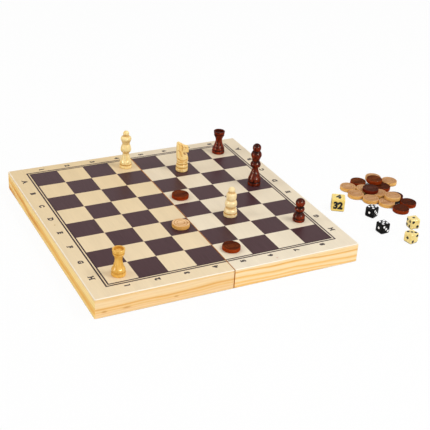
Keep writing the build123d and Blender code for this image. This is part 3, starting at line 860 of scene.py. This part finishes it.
# %% Print the points
red_ink = matt_ink("red_brown_ink", "#A4502E", 0.5)
for side, half in ((-1, "left"), (1, "right")):
    for tone, ink in (("dark", brown_ink), ("red", red_ink)):
        points = []
        for end, turn in ((-1, 0), (1, 180)):
            # dark and red points take turns, and start with dark at the front
            first = int((end > 0) == (tone == "dark"))
            for step in range(first, POINTS_ACROSS, 2):
                x = side * (TRAY_INNER + (step + 0.5) * POINT_STEP)
                points.append(print_point(flat_place(x, end * TRAY_END, POINT_LEVEL, turn)))
        field = join(f"{half}_{tone}_points", points)
        finish_with(field, ink)
        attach(field, half + "_half")
        print(field.name, len(points), "points")

# %% [markdown]
# ## Pips and numbers
# A pip is a shallow dimple, drilled by a ball cutter and filled with paint until it
# stands a hair proud of the face and just covers the dimple's edge. A thin lens has that
# shape: a ball, pressed flat. It is made once and copied to every spot.

# %% Model one pip of paint
PAINT_RISE = 0.06
bpy.ops.mesh.primitive_uv_sphere_add(segments=32, ring_count=12, radius=1)
pip_master = bpy.context.object
pip_master.data.transform(Matrix.Diagonal((MM, MM, PAINT_RISE * MM, 1)))
only(pip_master)
bpy.ops.object.shade_smooth()
print("a pip has", len(pip_master.data.polygons), "faces")


# %% Define the faces of a cube and the spots of a die
def cube_faces(node, size, turn):
    """Places on a cube's six faces: X to the right, Y up and Z out, from the node's own box."""
    low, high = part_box(node)
    centre = (low + high) / 2
    x_dir = Vector((math.cos(math.radians(turn)), math.sin(math.radians(turn)), 0))
    z_dir = Vector((0, 0, 1))
    y_dir = z_dir.cross(x_dir)
    faces = {
        "top": (x_dir, z_dir), "bottom": (x_dir, -z_dir), "left": (-y_dir, -x_dir),
        "right": (y_dir, x_dir), "front": (x_dir, -y_dir), "back": (-x_dir, y_dir),
    }
    places = {}
    for face, (along, out) in faces.items():
        turned = Matrix((along, out.cross(along), out)).transposed().to_4x4()
        places[face] = Matrix.Translation(centre + out * (size / 2 * MM)) @ turned
    return places


def pip_spots(value, slant):
    """Pip middles on one face, counted in pip spacings. Slant turns a diagonal."""
    spots = [(0, 0)] if value % 2 else []
    if value > 1:
        spots += [(-1, slant), (1, -slant)]
    if value > 3:
        spots += [(-1, -slant), (1, slant)]
    if value == 6:
        spots += [(-1, 0), (1, 0)]
    return spots


# %% Paint the dice
DIE_SIZE, PIP_SPACING = 13.6, 3.4
OPPOSITE = {"top": "bottom", "left": "right", "front": "back"}
# each die's turn, then the value and slant of its top, left and front
DICE = {
    "die_black_1": (23.1, {"top": (5, 1), "left": (1, 1), "front": (3, 1)}),
    "die_black_2": (4.1, {"top": (5, 1), "left": (1, 1), "front": (3, 1)}),
    "die_cream_1": (-8.4, {"top": (1, 1), "left": (4, 1), "front": (2, 1)}),
    "die_cream_2": (9.4, {"top": (3, 1), "left": (1, 1), "front": (2, -1)}),
}
black_paint = matt_ink("black_enamel", "#050505", 0.4)
# the paint of the pips and how far it reaches from a pip's middle
PIP_PAINT = {"cream": (black_paint, 2.0), "black": (matt_ink("white_enamel", "#FFFFFF", 0.4), 1.6)}
for die, (turn, shown) in DICE.items():
    paint, radius = PIP_PAINT[die.split("_")[1]]
    places = cube_faces(die, DIE_SIZE, turn)
    values = dict(shown)
    for face, (value, slant) in shown.items():
        values[OPPOSITE[face]] = (7 - value, slant)
    pips = []
    for face, (value, slant) in values.items():
        for u, v in pip_spots(value, slant):
            pip = bpy.data.objects.new("pip", pip_master.data.copy())
            bpy.context.scene.collection.objects.link(pip)
            spot = Matrix.Translation(Vector((u, v, 0)) * PIP_SPACING * MM)
            bake_place(pip, places[face] @ spot @ Matrix.Diagonal((radius, radius, 1, 1)))
            pips.append(pip)
    painted = join(die + "_pips", pips)
    finish_with(painted, paint)
    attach(painted, die)
bpy.data.objects.remove(pip_master)

# %% [markdown]
# The doubling cube counts the stakes: 2, 4, 8, 16, 32 and 64, one number to a face, in
# heavy black type. Here 32 looks to the front and 4 lies on top.

# %% Number the doubling cube
CUBE_SIZE, CUBE_TURN = 18.0, -31.4
CUBE_NUMBERS = {"front": "32", "top": "4", "left": "64", "right": "8", "back": "16", "bottom": "2"}
NUMBER_HEIGHT, NUMBER_WEIGHT, NUMBER_GIRTH = 11.6, 0.068, 0.9
cube_places = cube_faces("doubling_cube", CUBE_SIZE, CUBE_TURN)
numbers = []
for face, number in CUBE_NUMBERS.items():
    glyph = set_type(number, NUMBER_HEIGHT, NUMBER_WEIGHT, serifs=False)
    lift = Matrix.Translation((0, 0, INK_THICKNESS * MM))
    bake_place(glyph, cube_places[face] @ lift @ Matrix.Diagonal((NUMBER_GIRTH, 1, 1, 1)))
    numbers.append(glyph)
numbered = join("doubling_cube_numbers", numbers)
finish_with(numbered, black_paint)
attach(numbered, "doubling_cube")

# %% [markdown]
# ## The carved knight
# The knight's foot is turned like the other men, but its head is sawn from flat stock
# and finished by hand. A gouge cuts the line of the neck and jaw and the mane, a ball
# cutter sinks the eyes, a drill opens the mouth, and sanding softens it all. The same
# happens here. A gouge cut is a round tube laid along the cut and taken away from the
# wood, which keeps its depth even. Then the whole man is remeshed finely and smoothed,
# as the sanding does.

# %% Define a gouge cut
KNIGHT_PLACE, KNIGHT_TURN = (52.5, 93.8), -20.0
GOUGE_RADIUS, EYE_RADIUS = 0.8, 0.55
# each cut's path on the side of the head: towards the nose, and up
CUTS = [
    [(-1.8, 39.5), (-0.6, 36.5), (-0.4, 33), (-1.6, 30.2)],
    [(-6.8, 30.8), (-4.2, 30), (-3, 27.5), (-2, 24.6), (-0.6, 22.4)],
    [(-7.4, 20.5), (-4.6, 17.6), (-1, 16.4), (3.2, 17), (6.6, 18.6)],
    [(1.2, 36.2), (2.8, 34.6), (4.6, 34.8)],
]
# the drilled mouth opens out towards the lips: how far along, how high, and its radius
MOUTH = [(1.4, 27.5, 0.9), (2.8, 27.4, 1.1), (4.4, 27.1, 1.4), (6.2, 26.9, 1.7), (8.0, 26.6, 2.0)]
EYE = (3.4, 32.8)
DRILL_LENGTH = 20.0
# a distance to the side of the man that is clear of the head
ASIDE = 20
# the grain of the remeshing, and how hard and how often the sanding passes over it
FACE_SIZE, SANDING, PASSES = 0.32, 0.5, 3
knight_frame = flat_place(*KNIGHT_PLACE, BOARD_TOP, KNIGHT_TURN)


def work_with(piece, kind, **settings):
    """Applies a modifier to a piece."""
    only(piece)
    bpy.ops.object.modifier_add(type=kind)
    modifier = piece.modifiers[-1]
    for name, value in settings.items():
        setattr(modifier, name, value)
    bpy.ops.object.modifier_apply(modifier=modifier.name)


def carve(head, cutter):
    """Takes the cutter away from the head."""
    work_with(head, "BOOLEAN", operation="DIFFERENCE", solver="EXACT", object=cutter)
    bpy.data.objects.remove(cutter)


def on_side(head, along, high, side):
    """The point of the head's side at this place, counted from the middle of its foot."""
    start = knight_frame @ (Vector((along, side * ASIDE, high)) * MM)
    inward = knight_frame.to_3x3() @ Vector((0, -side, 0))
    return head.ray_cast(start, inward)[1]


def gouge_cut(route):
    """A tube along a route of points."""
    curve = bpy.data.curves.new("cut", "CURVE")
    curve.dimensions = "3D"
    curve.bevel_depth = GOUGE_RADIUS * MM
    curve.bevel_resolution = 3
    curve.use_fill_caps = True
    spline = curve.splines.new("NURBS")
    spline.points.add(len(route) - 1)
    for point, spot in zip(spline.points, route):
        point.co = (*spot, 1.0)
    spline.use_endpoint_u = True
    spline.order_u = 3
    spline.resolution_u = 6
    tube = bpy.data.objects.new("cut", curve)
    bpy.context.scene.collection.objects.link(tube)
    only(tube)
    bpy.ops.object.convert(target="MESH")
    return bpy.context.object


# %% Carve the knight
stock = nodes["chess_knight_light"]
knight = bpy.data.objects.new("carved_knight", stock.data.copy())
knight.matrix_world = stock.matrix_world
bpy.context.scene.collection.objects.link(knight)
only(knight)
bpy.ops.object.mode_set(mode="EDIT")
bpy.ops.mesh.select_all(action="SELECT")
bpy.ops.mesh.remove_doubles(threshold=0.001 * MM)
bpy.ops.object.mode_set(mode="OBJECT")
bake_place(knight, knight.matrix_world.copy())
routes = [[on_side(knight, *spot, side) for spot in path] for path in CUTS for side in (-1, 1)]
sockets = [on_side(knight, *EYE, side) for side in (-1, 1)]
for route in routes:
    carve(knight, gouge_cut(route))
for socket in sockets:
    bpy.ops.mesh.primitive_uv_sphere_add(segments=16, ring_count=8, radius=EYE_RADIUS * MM)
    ball = bpy.context.object
    bake_place(ball, Matrix.Translation(socket))
    carve(knight, ball)
for along, high, radius in MOUTH:
    bpy.ops.mesh.primitive_cylinder_add(
        vertices=24, radius=radius * MM, depth=DRILL_LENGTH * MM
    )
    drill = bpy.context.object
    across = Matrix.Translation(Vector((along, 0, high)) * MM) @ Matrix.Rotation(QUARTER, 4, "X")
    bake_place(drill, knight_frame @ across)
    carve(knight, drill)
work_with(knight, "REMESH", mode="VOXEL", voxel_size=FACE_SIZE * MM)
work_with(knight, "SMOOTH", factor=SANDING, iterations=PASSES)
bpy.ops.object.shade_smooth()
finish_with(knight, men_wood["knight_light"])
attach(knight, "chess_knight_light")
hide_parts("chess_knight_light")
print("the carved knight has", len(knight.data.polygons), "faces")

# %% [markdown]
# ## The floor and the light
# A studio table: a pale floor under a white surround. The camera sees the floor as
# mostly white, with the object's soft shadow left in, and light passes through it, so
# that the half of the case that folds down under it still shows. A broad even sky does
# most of the lighting, and large soft lamps at the right, the left and the front give
# the men their shape and the lacquer its small lights. Two low warm windows, at the left
# and the front right, light nothing but the gloss.


# %% Make the floor
# in metres, so wide that its edge lies far away
FLOOR_SIZE = 8
# how far the floor feels for what stands over it, and how clear it is away from there
SHADE_REACH, FLOOR_CLEARNESS = 14, 0.93


def make_floor():
    """A table that is solid only close under the pieces, where its colour is painted dark as
    shade.
    """
    material = bpy.data.materials.new("pale_table")
    material.use_nodes = True
    tree = material.node_tree
    tree.nodes.clear()
    path = add_node(tree, "LightPath").outputs
    # painted shade: in the tight gaps between the pieces it stays solid and its colour turns near
    # black
    gap = add_node(
        tree, "AmbientOcclusion", {"samples": 8}, {"Distance": SHADE_REACH * MM}
    ).outputs["AO"]
    tone = add_node(
        tree, "ValToRGB", links={"Fac": gap}, stops=[(0.28, "#2C1C12"), (0.5, "#F4F4F2")]
    )
    pale = add_node(tree, "BsdfDiffuse", links={"Color": tone})
    clear = add_node(tree, "BsdfTransparent")
    clearness = add_node(
        tree, "MapRange", None, span(0.25, 0.5, 0.0, FLOOR_CLEARNESS), {"Value": gap}
    )
    seen = add_node(
        tree, "Math", {"operation": "MULTIPLY"}, links={0: clearness, 1: path["Is Camera Ray"]}
    )
    share = add_node(
        tree, "Math", {"operation": "MAXIMUM"}, links={0: seen, 1: path["Is Shadow Ray"]}
    )
    both = add_node(tree, "MixShader", links={0: share, 1: pale, 2: clear})
    add_node(tree, "OutputMaterial", links={"Surface": both})
    bpy.ops.mesh.primitive_plane_add(size=FLOOR_SIZE, location=(0, 0, 0))
    floor = bpy.context.object
    floor.name = "floor"
    floor.data.materials.append(material)


make_floor()


# %% Light the scene
def set_sky(strength):
    """A sky of this strength as light, and white wherever it is seen."""
    world = bpy.data.worlds.new("studio")
    bpy.context.scene.world = world
    world.use_nodes = True
    tree = world.node_tree
    path = add_node(tree, "LightPath").outputs
    plain = path["Is Camera Ray"]
    for ray in ("Is Glossy Ray", "Is Transmission Ray"):
        plain = add_node(tree, "Math", {"operation": "MAXIMUM"}, links={0: plain, 1: path[ray]})
    level = add_node(tree, "MapRange", None, span(0, 1, strength, 1.0), {"Value": plain})
    background = tree.nodes["Background"]
    background.inputs["Color"].default_value = (1, 1, 1, 1)
    connect(tree, level, background.inputs["Strength"])


WARM_WINDOW = (1.0, 0.84, 0.66)


def add_lamp(name, direction, distance, size, watts, gloss_only=False):
    """A square soft lamp that looks at the board's middle, its distance and size in metres."""
    data = bpy.data.lights.new(name, "AREA")
    data.size = size
    data.energy = watts
    lamp = bpy.data.objects.new(name, data)
    bpy.context.scene.collection.objects.link(lamp)
    lamp.location = Vector(direction).normalized() * distance
    lamp.rotation_euler = (-lamp.location).to_track_quat("-Z", "Y").to_euler()
    lamp.visible_diffuse = not gloss_only
    if gloss_only:
        data.color = WARM_WINDOW


SKY = 0.62
add_lamp("lamp_right", (0.46, -0.35, 0.815), 2.2, 0.7, 15)
add_lamp("lamp_left", (-0.754, 0.187, 0.632), 2.2, 0.6, 8)
add_lamp("lamp_front", (-0.25, -0.93, 0.28), 2.4, 1.2, 9)
add_lamp("window_left", (-0.985, 0.038, 0.166), 2.2, 0.9, 75, gloss_only=True)
add_lamp("window_right", (0.278, -0.86, 0.428), 2.2, 0.9, 115, gloss_only=True)
set_sky(SKY)
print("a sky of", SKY, "and", len(bpy.data.lights), "lamps")
